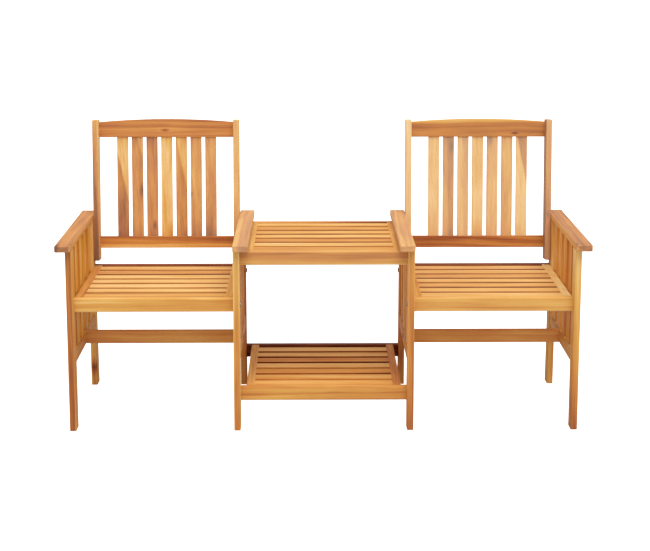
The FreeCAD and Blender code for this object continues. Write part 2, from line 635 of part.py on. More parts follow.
def arched_outline(body):
    """A board with a flat underside, upright ends and a gently arched top."""
    half = SIZES["seat_clear"] / 2 - SIZES["post_thick"]
    high = SIZES["post_length"] - SIZES["top_rail_drop"]
    low = high - SIZES["top_rail_tall"]
    rise = SIZES["top_rail_rise"]
    radius = (half ** 2 + rise ** 2) / (2 * rise)
    sweep = math.asin(half / radius)
    circle = Part.Circle(FreeCAD.Vector(0, high + rise - radius, 0), FreeCAD.Vector(0, 0, 1), radius)
    sketch = new_sketch(body, "XZ_Plane")
    sketch.addGeometry(Part.LineSegment(FreeCAD.Vector(-half, low, 0), FreeCAD.Vector(half, low, 0)))
    sketch.addGeometry(Part.LineSegment(FreeCAD.Vector(half, low, 0), FreeCAD.Vector(half, high, 0)))
    sketch.addGeometry(Part.ArcOfCircle(circle, math.pi / 2 - sweep, math.pi / 2 + sweep))
    sketch.addGeometry(Part.LineSegment(FreeCAD.Vector(-half, high, 0), FreeCAD.Vector(-half, low, 0)))
    for number in range(4):
        sketch.addConstraint(Sketcher.Constraint("Coincident", number, 2, (number + 1) % 4, 1))
    sketch.addConstraint(Sketcher.Constraint("Vertical", 1))
    sketch.addConstraint(Sketcher.Constraint("Vertical", 3))
    sketch.addConstraint(Sketcher.Constraint("Equal", 1, 3))
    sketch.addConstraint(Sketcher.Constraint("Symmetric", 0, 1, 0, 2, -2))
    fix(sketch, "start", Sketcher.Constraint("DistanceY", -1, 1, 0, 1, low), TOP_RAIL_START)
    fix(sketch, "span", Sketcher.Constraint("DistanceX", 0, 1, 0, 2, 2 * half), BACK_SPAN)
    fix(sketch, "tall", Sketcher.Constraint("DistanceY", 1, 1, 1, 2, high - low), "top_rail_tall")
    fix(sketch, "bend", Sketcher.Constraint("Radius", 2, radius),
        f"({BACK_SPAN} ^ 2 / 4 + top_rail_rise ^ 2) / (2 * top_rail_rise)")
    return sketch


def top_rail(label, across):
    rail = back_body(label, across)
    sketch = arched_outline(rail)
    bind(sketch, {"AttachmentOffset.Base.z": f"-{BACK_RAIL_FRONT}"})
    pad_outline(rail, sketch, "back_rail_thick", reverse=True)
    soften(rail, "board_round", lambda edge: edge.BoundBox.XLength > SIZES["seat_clear"] / 2)
    back_tenons(rail, TOP_RAIL_START, "top_rail_tall")
    back_slat_mortises(rail, f"{TOP_RAIL_START} - {OVERCUT}")


def back_slats(label, across):
    slats = back_body(label, across)
    slats.AllowCompound = True
    low = "(bottom_rail_start + bottom_rail_tall)"
    block(slats, "Blank", (BACK_SLATS_START, BACK_SLAT_FRONT, low),
          ("back_slat_width", "back_slat_thick", BACK_SLATS_LENGTH))
    soften_z(slats, "board_round")
    corner = (f"{BACK_SLATS_START} + tenon_shoulder", BACK_TENON_FRONT, f"{low} - back_slat_tenon")
    size = ("back_slat_width - 2 * tenon_shoulder", "tenon_thick",
            f"{BACK_SLATS_LENGTH} + 2 * back_slat_tenon")
    block(slats, "Tenons", corner, size)
    repeat(slats, None, "X_Axis", BACK_PITCH, "back_slat_count")


# Fasteners: one form of each kind, and a group with a copy at every place

def bolt_form(name, length):
    """A bolt with its shank along +X, a flat round head and a hexagonal socket."""
    bolt = doc.addObject("PartDesign::Body", name)
    head = bolt.newObject("PartDesign::AdditiveCylinder", "Head")
    bind(head, {"Radius": "head_width / 2", "Height": "head_thick"})
    place(head, ("-head_thick", 0, 0), ALONG_X)
    soften(bolt, "head_edge", lambda edge: edge.BoundBox.XMax < -SIZES["head_thick"] / 2)
    shank = bolt.newObject("PartDesign::AdditiveCylinder", "Shank")
    bind(shank, {"Radius": "bolt_thick / 2", "Height": length})
    place(shank, (0, 0, 0), ALONG_X)
    socket = bolt.newObject("PartDesign::SubtractivePrism", "Socket")
    socket.Polygon = 6
    bind(socket, {"Circumradius": "socket_width / 2", "Height": f"socket_depth + {OVERCUT}"})
    place(socket, (f"-head_thick - {OVERCUT}", 0, 0), ALONG_X)
    return bolt


def sleeve_form(name, width, length, turn):
    """A plain metal cylinder with a threaded hole along X for a bolt."""
    sleeve = doc.addObject("PartDesign::Body", name)
    outside = sleeve.newObject("PartDesign::AdditiveCylinder", "Outside")
    bind(outside, {"Radius": f"{width} / 2", "Height": length})
    place(outside, (0, 0, f"-{length} / 2") if turn == ALONG_Z else (0, 0, 0), turn)
    bore(sleeve, "Threaded_hole", (f"-{width}", 0, 0), ALONG_X, "(bolt_thick + thread_room) / 2",
         f"{width} + {length} + {OVERCUT}")
    return sleeve


def dowel_form():
    """A wooden dowel with its length along +Z and its ends chamfered."""
    dowel = doc.addObject("PartDesign::Body", "Dowel_form")
    pin = dowel.newObject("PartDesign::AdditiveCylinder", "Pin")
    bind(pin, {"Radius": "dowel_thick / 2", "Height": "dowel_length"})
    soften(dowel, "board_round / 2", lambda edge: edge.BoundBox.ZLength < FLAT)
    return dowel


def copy_group(label, form, places):
    """A sub-part made of one copy of a form at each place."""
    copies = []
    for corner, turn in places:
        copy = doc.addObject("App::Link", f"{label}_copy")
        copy.LinkedObject = form
        place(copy, corner, turn)
        copies.append(copy)
    group = doc.addObject("Part::Compound", label)
    group.Label = label
    group.Links = copies
    subparts.append(group)


TOWARDS = {1: FreeCAD.Rotation(), -1: FreeCAD.Rotation(FreeCAD.Vector(0, 0, 1), 180)}


def rail_bolt_lines():
    """Each line of bolts and nuts: centre and half of the span, wall behind the bolt head, reach, height."""
    front = "front_rail_reach + rail_thick / 2"
    rear = {tier: f"{rear_rail_back(tier)} - rail_thick / 2" for tier in TOPS}
    lines = []
    for side in (-1, 1):
        middle = f"{side} * {CHAIR_MIDDLE}"
        for reach in (front, rear["seat"]):
            lines.append((middle, "(seat_clear / 2)", "leg_thick", reach, bolt_height("seat")))
        lines.append((middle, "((seat_clear + leg_thick - low_rail_thick) / 2)", "low_rail_thick",
                      "stretcher_reach + stretcher_thick / 2", LOW_RAIL_MIDDLE))
    for tier, reach in (("table", front), ("shelf", front), ("shelf", rear["shelf"])):
        lines.append(("0", "(table_clear / 2)", "(leg_thick - head_sink)", reach, bolt_height(tier)))
    wall = "(leg_thick + post_thick - head_sink)"
    return lines, [("0", "(table_clear / 2)", wall, rear["table"], bolt_height("table"))]


def bolt_places(lines):
    return [((f"{middle} + {sign} * ({half} + {wall})", f"{FRONT} + {reach}", height), TOWARDS[-sign])
            for middle, half, wall, reach, height in lines for sign in (-1, 1)]


def rail_fasteners():
    """The table's rear rail is held by longer bolts, which also pass through the posts of the backrests."""
    lines, post_lines = rail_bolt_lines()
    nuts = [((f"{middle} + {sign} * ({half} - nut_inset)", f"{FRONT} + {reach}", height), ALONG_Z)
            for middle, half, _, reach, height in lines + post_lines for sign in (-1, 1)]
    copy_group("rail_bolts", bolt_form("Rail_bolt_form", "bolt_length"), bolt_places(lines))
    copy_group("table_rear_bolts", bolt_form("Long_bolt_form", "bolt_length + post_thick"),
               bolt_places(post_lines))
    copy_group("rail_barrel_nuts", sleeve_form("Barrel_nut_form", "nut_width", "nut_length", ALONG_Z), nuts)


def back_fasteners():
    bolts = []
    inserts = []
    for side in (-1, 1):
        for sign in (-1, 1):
            for height in BACK_BOLT_HEIGHTS.values():
                line = (f"{FRONT} + {BACK_BOLT_REACH}", height)
                face = f"{side} * {CHAIR_MIDDLE} + {sign} * seat_clear / 2"
                bolts.append(((f"{face} + {sign} * leg_thick", *line), TOWARDS[-sign]))
                inserts.append(((face, *line), TOWARDS[-sign]))
    copy_group("back_bolts", bolt_form("Back_bolt_form", "back_bolt_length"), bolts)
    copy_group("back_threaded_inserts", sleeve_form("Insert_form", "insert_width", "insert_length", ALONG_X),
               inserts)


def dowels():
    form = dowel_form()
    in_arms = []
    for sign in (-1, 1):
        for frame in (INNER_FRAME, OUTER_FRAME):
            for middle in LEG_TOP_MIDDLES.values():
                for step in ("-", "+"):
                    in_arms.append(((f"{sign} * {frame}", f"{middle} {step} dowel_spacing / 2",
                                     "leg_height + dowel_in_arm - dowel_length"), ALONG_Z))
    copy_group("armrest_dowels", form, in_arms)
    in_rails = []
    frames = [(f"{sign} * {CHAIR_MIDDLE}", "seat") for sign in (-1, 1)] + [("0", "table"), ("0", "shelf")]
    for middle, tier in frames:
        clear, inset, thick = frame_sizes(tier)
        offset = f"({clear} / 2 - {inset} - {thick} / 2)"
        starts = (f"{INSIDE_FRONT_RAIL} - dowel_in_rail",
                  f"{rear_rail_back(tier)} - rail_thick + dowel_in_rail - dowel_length")
        for sign in (-1, 1):
            for start in starts:
                for rise in DOWEL_RISES:
                    in_rails.append(((f"{middle} + {sign} * {offset}", f"{FRONT} + {start}",
                                      f"{TOPS[tier]} - rail_tall + {rise}"), ALONG_Y))
    copy_group("rail_dowels", form, in_rails)


# The whole bench

def side_frame(frame, sign, inner):
    """One of the four side frames; its armrest overhangs away from the chair."""
    across = f"{sign} * {INNER_FRAME if inner else OUTER_FRAME}"
    chair_side = sign if inner else -sign
    front_leg(frame, across, chair_side, inner)
    rear_leg(frame, across, chair_side, inner)
    armrest(frame, across, -chair_side)
    lower_rail(frame, across)
    side_slats(frame, across)


def chair(name, sign):
    """A seat, a backrest and a stretcher between two side frames."""
    across = f"{sign} * {CHAIR_MIDDLE}"
    sides = ("outer", "inner") if sign < 0 else ("inner", "outer")
    side_frame(f"{name}_outer", sign, False)
    side_frame(f"{name}_inner", sign, True)
    rail_frame(f"{name}_seat", "seat", sides, across)
    stretcher(name, across)
    for side, post_sign in zip(sides, (-1, 1)):
        back_post(f"{name}_back_{side}_post", across, post_sign, side == "inner")
    bottom_rail(f"{name}_back_bottom_rail", across)
    top_rail(f"{name}_back_top_rail", across)
    back_slats(f"{name}_back_slats", across)


def check_model():
    """Stop if any object failed or any sub-part has no sound shape."""
    for item in doc.Objects:
        if "Invalid" in item.State or "Error" in item.State:
            raise RuntimeError(f"{item.Label} did not recompute")
    for item in subparts:
        if item.Shape.isNull() or not item.Shape.isValid():
            raise RuntimeError(f"{item.Label} has no sound shape")


def write_parts():
    os.makedirs("parts", exist_ok=True)
    for item in subparts:
        item.Shape.exportStep(f"parts/{item.Label}.step")
    box = Part.makeCompound([item.Shape for item in subparts]).BoundBox
    print(f"{len(subparts)} sub-parts, {box.XLength:.1f} x {box.YLength:.1f} x {box.ZLength:.1f} mm")


fill_sheet()
chair("left", -1)
chair("right", 1)
for tier in ("table", "shelf"):
    rail_frame(tier, tier, ("left", "right"), "0")
rail_fasteners()
back_fasteners()
dowels()
doc.recompute()
check_model()
write_parts()
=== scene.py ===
"""Companion seat bench: its oiled acacia boards, its steel bolts, the studio and the camera."""
import math

import bpy
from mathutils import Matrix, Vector


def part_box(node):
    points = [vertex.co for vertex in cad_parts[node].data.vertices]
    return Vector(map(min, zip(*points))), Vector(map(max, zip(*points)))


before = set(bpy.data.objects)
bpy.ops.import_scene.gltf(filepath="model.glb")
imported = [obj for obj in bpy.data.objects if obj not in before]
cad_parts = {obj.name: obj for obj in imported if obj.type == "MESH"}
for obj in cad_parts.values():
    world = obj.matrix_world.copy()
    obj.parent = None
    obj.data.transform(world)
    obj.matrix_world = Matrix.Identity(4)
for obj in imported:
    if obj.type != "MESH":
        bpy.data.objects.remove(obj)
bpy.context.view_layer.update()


# Small helpers for shader trees

def add(tree, kind, **settings):
    """Add a node and set its plain properties."""
    node = tree.nodes.new(kind)
    for name, value in settings.items():
        setattr(node, name, value)
    return node


def feed(tree, socket, value):
    """Give an input socket a number, a vector or another socket's output."""
    if isinstance(value, bpy.types.NodeSocket):
        tree.links.new(value, socket)
    else:
        socket.default_value = value


def feed_by_name(tree, node, values):
    """Give each named input of a node its value."""
    for name, value in values.items():
        feed(tree, node.inputs[name], value)
    return node


def add_and_feed(tree, kind, *values, **settings):
    """Add a node and give its inputs their values in order."""
    node = add(tree, kind, **settings)
    for socket, value in zip(node.inputs, values):
        feed(tree, socket, value)
    return node


def calc(tree, operation, *values, clamp=False):
    """A Math node over numbers and sockets; gives its output."""
    return add_and_feed(tree, "ShaderNodeMath", *values, operation=operation, use_clamp=clamp).outputs[0]


def times(tree, value, factor):
    """A product of two numbers."""
    return calc(tree, "MULTIPLY", value, factor)


def centred(tree, value):
    """A pattern from 0 to 1, moved to swing about 0."""
    return calc(tree, "SUBTRACT", value, 0.5)


def weigh(tree, *pairs):
    """The sum of each value times its weight."""
    total = 0.0
    for value, weight in pairs:
        total = calc(tree, "MULTIPLY_ADD", value, weight, total)
    return total


def vector_calc(tree, operation, *values, output="Vector"):
    """A Vector Math node over vectors and sockets; gives its vector, or its number as the output Value."""
    return add_and_feed(tree, "ShaderNodeVectorMath", *values, operation=operation).outputs[output]


def split(tree, vector):
    """The three coordinates of a vector."""
    return add_and_feed(tree, "ShaderNodeSeparateXYZ", vector).outputs


def join(tree, *values):
    """A vector from its three coordinates."""
    return add_and_feed(tree, "ShaderNodeCombineXYZ", *values).outputs[0]


def slope(tree, value, low, high):
    """A smooth rise from 0 at the low value to 1 at the high one."""
    return add_and_feed(tree, "ShaderNodeMapRange", value, low, high,
                        interpolation_type="SMOOTHSTEP").outputs[0]


def noise(tree, vector, waves, seed, detail=2.0, roughness=0.5):
    """Noise from 0 to 1, with this many waves per metre on each axis."""
    node = add(tree, "ShaderNodeTexNoise", noise_dimensions="4D")
    feed_by_name(tree, node, {"Vector": vector_calc(tree, "MULTIPLY", vector, waves), "W": seed,
                              "Scale": 1.0, "Detail": detail, "Roughness": roughness})
    return node.outputs["Fac"]


def ramp(tree, value, stops, interpolation="EASE"):
    """A colour ramp through (position, colour) stops."""
    node = add(tree, "ShaderNodeValToRGB")
    node.color_ramp.interpolation = interpolation
    elements = node.color_ramp.elements
    while len(elements) < len(stops):
        # Its place is set below
        elements.new(0.5)
    for element, (position, colour) in zip(elements, stops):
        element.position = position
        element.color = (*colour, 1.0)
    feed(tree, node.inputs["Fac"], value)
    return node.outputs["Color"]


def blend(tree, way, amount, colour, other):
    """Blend a colour with a fixed one."""
    node = add(tree, "ShaderNodeMix", data_type="RGBA", blend_type=way)
    feed_by_name(tree, node, {"Factor": amount, "A": colour, "B": (*other, 1.0)})
    return node.outputs["Result"]


def new_group(name, inputs, outputs):
    """A node group with named sockets: vectors, colours and numbers."""
    kinds = {"vector": "NodeSocketVector", "colour": "NodeSocketColor", "number": "NodeSocketFloat"}
    group = bpy.data.node_groups.new(name, "ShaderNodeTree")
    for socket, kind in inputs.items():
        group.interface.new_socket(name=socket, in_out="INPUT", socket_type=kinds[kind])
    for socket, kind in outputs.items():
        group.interface.new_socket(name=socket, in_out="OUTPUT", socket_type=kinds[kind])
    return group, add(group, "NodeGroupInput").outputs, add(group, "NodeGroupOutput").inputs


def new_material(name):
    """A material whose tree is still empty."""
    material = bpy.data.materials.new(name)
    material.use_nodes = True
    material.node_tree.nodes.clear()
    return material


def lay_surface(tree, values):
    """End a material's tree with a Principled surface that has these inputs."""
    shader = feed_by_name(tree, add(tree, "ShaderNodeBsdfPrincipled"), values)
    output = add(tree, "ShaderNodeOutputMaterial")
    tree.links.new(shader.outputs["BSDF"], output.inputs["Surface"])


def put_on(node, material):
    """Give a CAD node's slots a material."""
    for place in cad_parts[node].material_slots:
        place.material = material


# The tones of oiled acacia, from pale sapwood to dark heartwood, and the tints that some boards have; the
# pale tint also paints sheen

ACACIA_TONES = (
    (0.0, (0.90, 0.62, 0.27)),
    (0.25, (0.76, 0.41, 0.10)),
    (0.5, (0.61, 0.24, 0.06)),
    (0.75, (0.36, 0.11, 0.038)),
    (1.0, (0.13, 0.034, 0.014)),
)
ROSY_TINT = (1.0, 0.86, 0.95)
GOLDEN_TINT = (1.0, 0.95, 0.55)
PALE_WOOD_AND_SHEEN = (0.95, 0.76, 0.5)

# The marks of the grain: waves per metre along, across and through a board, and lengths in metres

STREAK_WAVES = (1.6, 75.0, 75.0)
FIBRE_WAVES = (14.0, 900.0, 900.0)
PATCH_WAVES = (5.0, 22.0, 22.0)
WANDER_WAVES = (3.0, 9.0, 9.0)
GRAIN_WANDER = 0.022
GRAIN_LEAN = 0.05
BOUNDARY_WANDER = 0.02
BOUNDARY_BLUR = 0.004
RING_STRETCH = (0.12, 1.0, 1.0)
RING_HEART = (0.0, 0.035, 0.05)
RINGS = {"Scale": 55.0, "Distortion": 3.5, "Detail": 2.0, "Detail Scale": 1.2}
SMALLEST_KNOT = 0.0001

# A knot: an oval drawn out along the board, with soft edges, and the grain bends round it

KNOT_STRETCH = 0.4
KNOT_SOFTNESS = 1.2
KNOT_PULL = -0.8
KNOT_PULL_FALL = -0.6

# How much each mark darkens, roughens or raises the wood

TONE_SHARES = {"streak": 0.9, "ring": 0.08, "fibre": 0.16, "patch": 0.4, "knot": 0.45, "end": 0.08}
ROUGHNESS_SHARES = {"fibre": 0.22, "streak": 0.1, "end": 0.1}
OILED_ROUGHNESS = 0.52
FIBRE_HEIGHT = 0.7
RING_HEIGHT = 0.3

# Seeds: steps between nodes and between boards in a row, a step for patches and a factor for the lean

NODE_SEED = 1.7
ROW_SEED = 5.3
PATCH_SEED = 9.0
LEAN_SEED = 0.37


def share_out(marks, shares):
    """Pairs of each mark and its share."""
    return [(marks[name], share) for name, share in shares.items()]


def make_acacia_grain():
    """Grain along X of its vector, with the board's width along Y.

    Zone is how much darker the wood is on one side of a boundary between sapwood and heartwood, which
    crosses the width at Place and leans by Slant. Drift is how much darker it gets per metre along the board.
    Shade, the painted light and shade from finish_wood, darkens it, or lightens it where below 0, and End
    darkens it on end grain. Rosy reddens it, Golden takes the blue out of it and the pale share blends it
    with pale wood, for paler boards and for painted sheen."""
    tree, given, result = new_group(
        "acacia_grain",
        {"Vector": "vector", "Seed": "number", "End": "number", "Shade": "number", "Tone": "number",
         "Drift": "number", "Zone": "number", "Place": "number", "Slant": "number", "Rosy": "number",
         "Golden": "number", "Pale": "number", "Knot": "vector", "Knot size": "number"},
        {"Color": "colour", "Roughness": "number", "Height": "number"})
    along, across, deep = split(tree, given["Vector"])

    from_knot = split(tree, vector_calc(tree, "SUBTRACT", given["Vector"], given["Knot"]))
    oval = join(tree, times(tree, from_knot[0], KNOT_STRETCH), from_knot[1], 0.0)
    reach = calc(tree, "DIVIDE", vector_calc(tree, "LENGTH", oval, output="Value"),
                 calc(tree, "MAXIMUM", given["Knot size"], SMALLEST_KNOT))
    knot = calc(tree, "POWER", calc(tree, "SUBTRACT", 1.0, reach, clamp=True), KNOT_SOFTNESS)
    near_knot = calc(tree, "EXPONENT", times(tree, reach, KNOT_PULL_FALL))

    wander = centred(tree, noise(tree, given["Vector"], WANDER_WAVES, given["Seed"]))
    lean = centred(tree, calc(tree, "FRACT", times(tree, given["Seed"], LEAN_SEED)))
    sway = weigh(tree, (wander, GRAIN_WANDER), (across, 1.0), (times(tree, along, lean), GRAIN_LEAN),
                 (times(tree, near_knot, from_knot[1]), KNOT_PULL))
    bent = join(tree, along, sway, deep)

    past_boundary = weigh(tree, (across, 1.0), (given["Place"], -1.0), (wander, BOUNDARY_WANDER),
                          (times(tree, along, given["Slant"]), 1.0))
    zone = centred(tree, slope(tree, past_boundary, -BOUNDARY_BLUR, BOUNDARY_BLUR))

    streaks = noise(tree, bent, STREAK_WAVES, given["Seed"], detail=3.0, roughness=0.62)
    fibres = noise(tree, bent, FIBRE_WAVES, given["Seed"], detail=3.0, roughness=0.7)
    patches = noise(tree, bent, PATCH_WAVES, calc(tree, "ADD", given["Seed"], PATCH_SEED))
    round_heart = vector_calc(tree, "ADD", vector_calc(tree, "MULTIPLY", bent, RING_STRETCH), RING_HEART)
    rings = add(tree, "ShaderNodeTexWave", wave_type="RINGS", rings_direction="X", wave_profile="SAW")
    rings = feed_by_name(tree, rings, {"Vector": round_heart, **RINGS}).outputs["Fac"]

    patterns = {"streak": streaks, "ring": rings, "fibre": fibres, "patch": patches}
    marks = {name: centred(tree, pattern) for name, pattern in patterns.items()}
    marks.update({"knot": knot, "end": given["End"]})
    tone = weigh(tree, (given["Tone"], 1.0), (times(tree, zone, given["Zone"]), 1.0),
                 (times(tree, along, given["Drift"]), 1.0), *share_out(marks, TONE_SHARES),
                 (given["Shade"], 1.0))
    colour = blend(tree, "MULTIPLY", given["Rosy"], ramp(tree, tone, ACACIA_TONES, "LINEAR"), ROSY_TINT)
    colour = blend(tree, "MULTIPLY", given["Golden"], colour, GOLDEN_TINT)
    colour = blend(tree, "MIX", given["Pale"], colour, PALE_WOOD_AND_SHEEN)
    roughness = weigh(tree, *share_out(marks, ROUGHNESS_SHARES), (1.0, OILED_ROUGHNESS))
    height = weigh(tree, (fibres, FIBRE_HEIGHT), (rings, RING_HEIGHT))
    for name, value in {"Color": colour, "Roughness": roughness, "Height": height}.items():
        feed(tree, result[name], value)
    return tree


# Every board: its plain look, its finish, and how far its painted shades reach in from its ends and long
# edges

ACACIA_GRAIN = make_acacia_grain()
PLAIN = {"Tone": 0.4, "Edge": 0.0, "Joint": 0.0, "Rim": 0.0, "Drift": 0.0, "Zone": 0.0, "Place": 0.0,
         "Slant": 0.0, "Rosy": 0.0, "Golden": 0.0, "Pale": 0.0,
         "Knot along": 0.0, "Knot across": 0.0, "Knot size": 0.0}
GRAIN_RELIEF = {"Strength": 0.25, "Distance": 0.0006}
OIL_SHEEN = 0.06
PAINTED_JOINT_SHADE_REACH = 0.06
PAINTED_RIM_SHADE_REACH = 0.009
END_GRAIN_FACING = 0.9
AXES = {"x": (1.0, 0.0, 0.0), "y": (0.0, 1.0, 0.0), "z": (0.0, 0.0, 1.0)}


def facing(tree, axis):
    """How squarely a face looks along an axis, from either side."""
    normal = add(tree, "ShaderNodeTexCoord").outputs["Normal"]
    return calc(tree, "ABSOLUTE", vector_calc(tree, "DOT_PRODUCT", normal, AXES[axis], output="Value"))


def near_ends(tree, place, size, reach):
    """From 0 over most of a size, with its place counted from the middle, to 1 at both its ends."""
    return slope(tree, calc(tree, "ABSOLUTE", place), size / 2 - reach, size / 2)


def finish_wood(tree, vector, lie, length, width, seed, look):
    """A satin oiled finish, fed by the grain. Lie names the axes of the board's length and width.

    Its face shading paints light and shade on its narrow faces, its joint shade paints shade near its ends
    and its rim shade paints shade along its long edges."""
    values = dict(look)
    along, across, _ = split(tree, vector)
    values["Shade"] = weigh(tree, (facing(tree, lie[1]), values.pop("Edge")),
                            (near_ends(tree, along, length, PAINTED_JOINT_SHADE_REACH), values.pop("Joint")),
                            (near_ends(tree, across, width, PAINTED_RIM_SHADE_REACH), values.pop("Rim")))
    values["End"] = calc(tree, "GREATER_THAN", facing(tree, lie[0]), END_GRAIN_FACING)
    values["Knot"] = join(tree, values.pop("Knot along"), values.pop("Knot across"), 0.0)
    grain = feed_by_name(tree, add(tree, "ShaderNodeGroup", node_tree=ACACIA_GRAIN),
                         {"Vector": vector, "Seed": seed, **values})
    relief = feed_by_name(tree, add(tree, "ShaderNodeBump"),
                          {"Height": grain.outputs["Height"], **GRAIN_RELIEF})
    lay_surface(tree, {"Base Color": grain.outputs["Color"], "Roughness": grain.outputs["Roughness"],
                       "Normal": relief.outputs["Normal"], "Specular IOR Level": OIL_SHEEN})


def laid_out(tree, parts, lie):
    """Three coordinates in the order length, width, thickness of a board."""
    rest = next(axis for axis in "xyz" if axis not in lie)
    return join(tree, *(parts["xyz".index(axis)] for axis in lie + rest))


def first_seed(node):
    """The seed of a node's first board."""
    return NODE_SEED * sorted(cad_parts).index(node)


def board(node, lie, look):
    """One board: lie names the axes of its length and width, and look holds values of the grain."""
    material = new_material(f"acacia_{node}")
    tree = material.node_tree
    low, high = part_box(node)
    coordinates = add(tree, "ShaderNodeTexCoord").outputs["Object"]
    parts = split(tree, vector_calc(tree, "SUBTRACT", coordinates, (low + high) / 2))
    length, width = ((high - low)["xyz".index(axis)] for axis in lie)
    finish_wood(tree, laid_out(tree, parts, lie), lie, length, width, first_seed(node), {**PLAIN, **look})
    put_on(node, material)


def pick(tree, share, values):
    """The value of each board in a row, from a stepped ramp over the row."""
    low = min(values)
    span = max(values) - low
    if span == 0.0:
        return low
    stops = [(number / len(values), ((value - low) / span,) * 3) for number, value in enumerate(values)]
    return calc(tree, "MULTIPLY_ADD", ramp(tree, share, stops, "CONSTANT"), span, low)


def board_row(node, lie, width, looks):
    """Boards side by side in one node, each with a look of its own, from the low end of the width axis."""
    material = new_material(f"acacia_{node}")
    tree = material.node_tree
    row = "xyz".index(lie[1])
    low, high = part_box(node)
    centre = (low + high) / 2
    first = low[row] + width / 2
    pitch = (high[row] - low[row] - width) / (len(looks) - 1)
    parts = list(split(tree, add(tree, "ShaderNodeTexCoord").outputs["Object"]))
    number = calc(tree, "ROUND", calc(tree, "DIVIDE", calc(tree, "SUBTRACT", parts[row], first), pitch))
    for axis in range(3):
        middle = calc(tree, "MULTIPLY_ADD", number, pitch, first) if axis == row else centre[axis]
        parts[axis] = calc(tree, "SUBTRACT", parts[axis], middle)
    share = calc(tree, "DIVIDE", calc(tree, "ADD", number, 0.5), len(looks))
    looks = [{**PLAIN, **look} for look in looks]
    values = {name: pick(tree, share, [look[name] for look in looks]) for name in PLAIN}
    seed = calc(tree, "MULTIPLY_ADD", number, ROW_SEED, first_seed(node))
    length = (high - low)["xyz".index(lie[0])]
    finish_wood(tree, laid_out(tree, parts, lie), lie, length, width, seed, values)
    put_on(node, material)


def tones(*values, **shared):
    """Looks for a row of boards that differ only in tone."""
    return [{"Tone": value, **shared} for value in values]


# The side frames: each board's tone follows the photograph

SIDE_SLAT_WIDTH = 0.048

# Negative face shading paints light on the sides of the legs and armrests; on the side slats, face shading
# paints shade between the slats
board("left_outer_front_leg", "zx", {"Tone": 0.68, "Edge": -0.36, "Drift": -0.35})
board("left_inner_front_leg", "zx", {"Tone": 0.35, "Edge": -0.35, "Drift": -0.5})
board("right_inner_front_leg", "zx", {"Tone": 0.5, "Edge": -0.25, "Rosy": 0.3, "Drift": -0.7})
board("right_outer_front_leg", "zx", {"Tone": 0.38, "Edge": -0.12, "Drift": -1.0})
board("left_outer_rear_leg", "zy", {"Tone": 0.3, "Drift": -0.3,
                                    "Knot along": -0.222, "Knot across": -0.0175, "Knot size": 0.016})
board("left_inner_rear_leg", "zy", {"Tone": 0.5, "Rosy": 0.4})
board("right_inner_rear_leg", "zy", {"Tone": 0.46, "Rosy": 0.2})
board("right_outer_rear_leg", "zy", {"Tone": 0.38})
board("left_outer_armrest", "yx", {"Tone": 0.58, "Edge": -0.25, "Golden": 0.25, "Pale": 0.1,
                                   "Knot along": -0.3, "Knot across": -0.02, "Knot size": 0.014})
board("left_inner_armrest", "yx", {"Tone": 0.48, "Edge": -0.15, "Zone": 0.2, "Place": -0.008, "Pale": 0.2})
board("right_inner_armrest", "yx", {"Tone": 0.48, "Edge": -0.1, "Golden": 0.15, "Pale": 0.2})
board("right_outer_armrest", "yx", {"Tone": 0.61, "Edge": -0.3, "Golden": 0.25, "Pale": 0.14,
                                    "Knot along": -0.28, "Knot across": -0.02, "Knot size": 0.007})
for side in ("left", "right"):
    for place in ("outer", "inner"):
        board(f"{side}_{place}_lower_rail", "yz", {"Tone": 0.42})
board_row("left_outer_side_slats", "zy", SIDE_SLAT_WIDTH,
          tones(0.19, 0.13, 0.21, 0.15, Rosy=0.3, Golden=1.0, Edge=0.32))
board_row("left_inner_side_slats", "zy", SIDE_SLAT_WIDTH,
          tones(0.26, 0.17, 0.3, 0.2, Rosy=0.3, Golden=0.2, Edge=0.25))
board_row("right_inner_side_slats", "zy", SIDE_SLAT_WIDTH,
          tones(0.2, 0.3, 0.16, 0.26, Rosy=0.3, Golden=0.2, Edge=0.25))
board_row("right_outer_side_slats", "zy", SIDE_SLAT_WIDTH,
          tones(0.3, 0.25, 0.15, 0.2, Rosy=0.6, Golden=0.5, Edge=0.32))

# The seats, the table and the shelf, each row of slats from the front to the back

SLAT_WIDTH = 0.05
# The rim shade and the face shading paint shade on the slats beside the gaps, and each slat of the shelf has
# its own tone and painted face shade
SEAT_GAP = {"Rim": 0.22, "Edge": 0.27}
TABLE_GAP = {"Rim": 0.2, "Edge": 0.15}
SHELF_LOOK = {"Rim": 0.25, "Rosy": 0.7, "Golden": 0.65}
SHELF_SLATS = ((0.13, 0.2), (0.12, 0.05), (0.26, 0.35), (0.04, 0.2), (0.36, 0.45), (0.14, 0.45), (0.02, 0.5))

# Negative face shading paints light on the top and bottom faces of the seat and table front rails
board("left_seat_front_rail", "xz", {"Tone": 0.31, "Edge": -0.12})
board("right_seat_front_rail", "xz", {"Tone": 0.33, "Zone": 0.08, "Place": 0.008, "Edge": -0.12,
                                      "Pale": 0.03})
board("left_seat_outer_rail", "yz", {"Tone": 0.42, "Rosy": 0.3})
board("left_seat_inner_rail", "yz", {"Tone": 0.28})
board("right_seat_inner_rail", "yz", {"Tone": 0.34})
board("right_seat_outer_rail", "yz", {"Tone": 0.2, "Pale": 0.1})
board_row("left_seat_slats", "xy", SLAT_WIDTH,
          tones(0.29, 0.15, 0.11, 0.21, 0.15, 0.4, 0.2, Pale=0.04, **SEAT_GAP))
board_row("right_seat_slats", "xy", SLAT_WIDTH,
          tones(0.2, 0.22, 0.33, 0.19, 0.36, 0.24, 0.29, Pale=0.07, **SEAT_GAP))
board("left_stretcher", "xz", {"Tone": 0.35, "Rosy": 0.6, "Drift": -0.15, "Pale": 0.02})
board("right_stretcher", "xz", {"Tone": 0.38, "Rosy": 0.8, "Drift": 0.15, "Pale": 0.02})
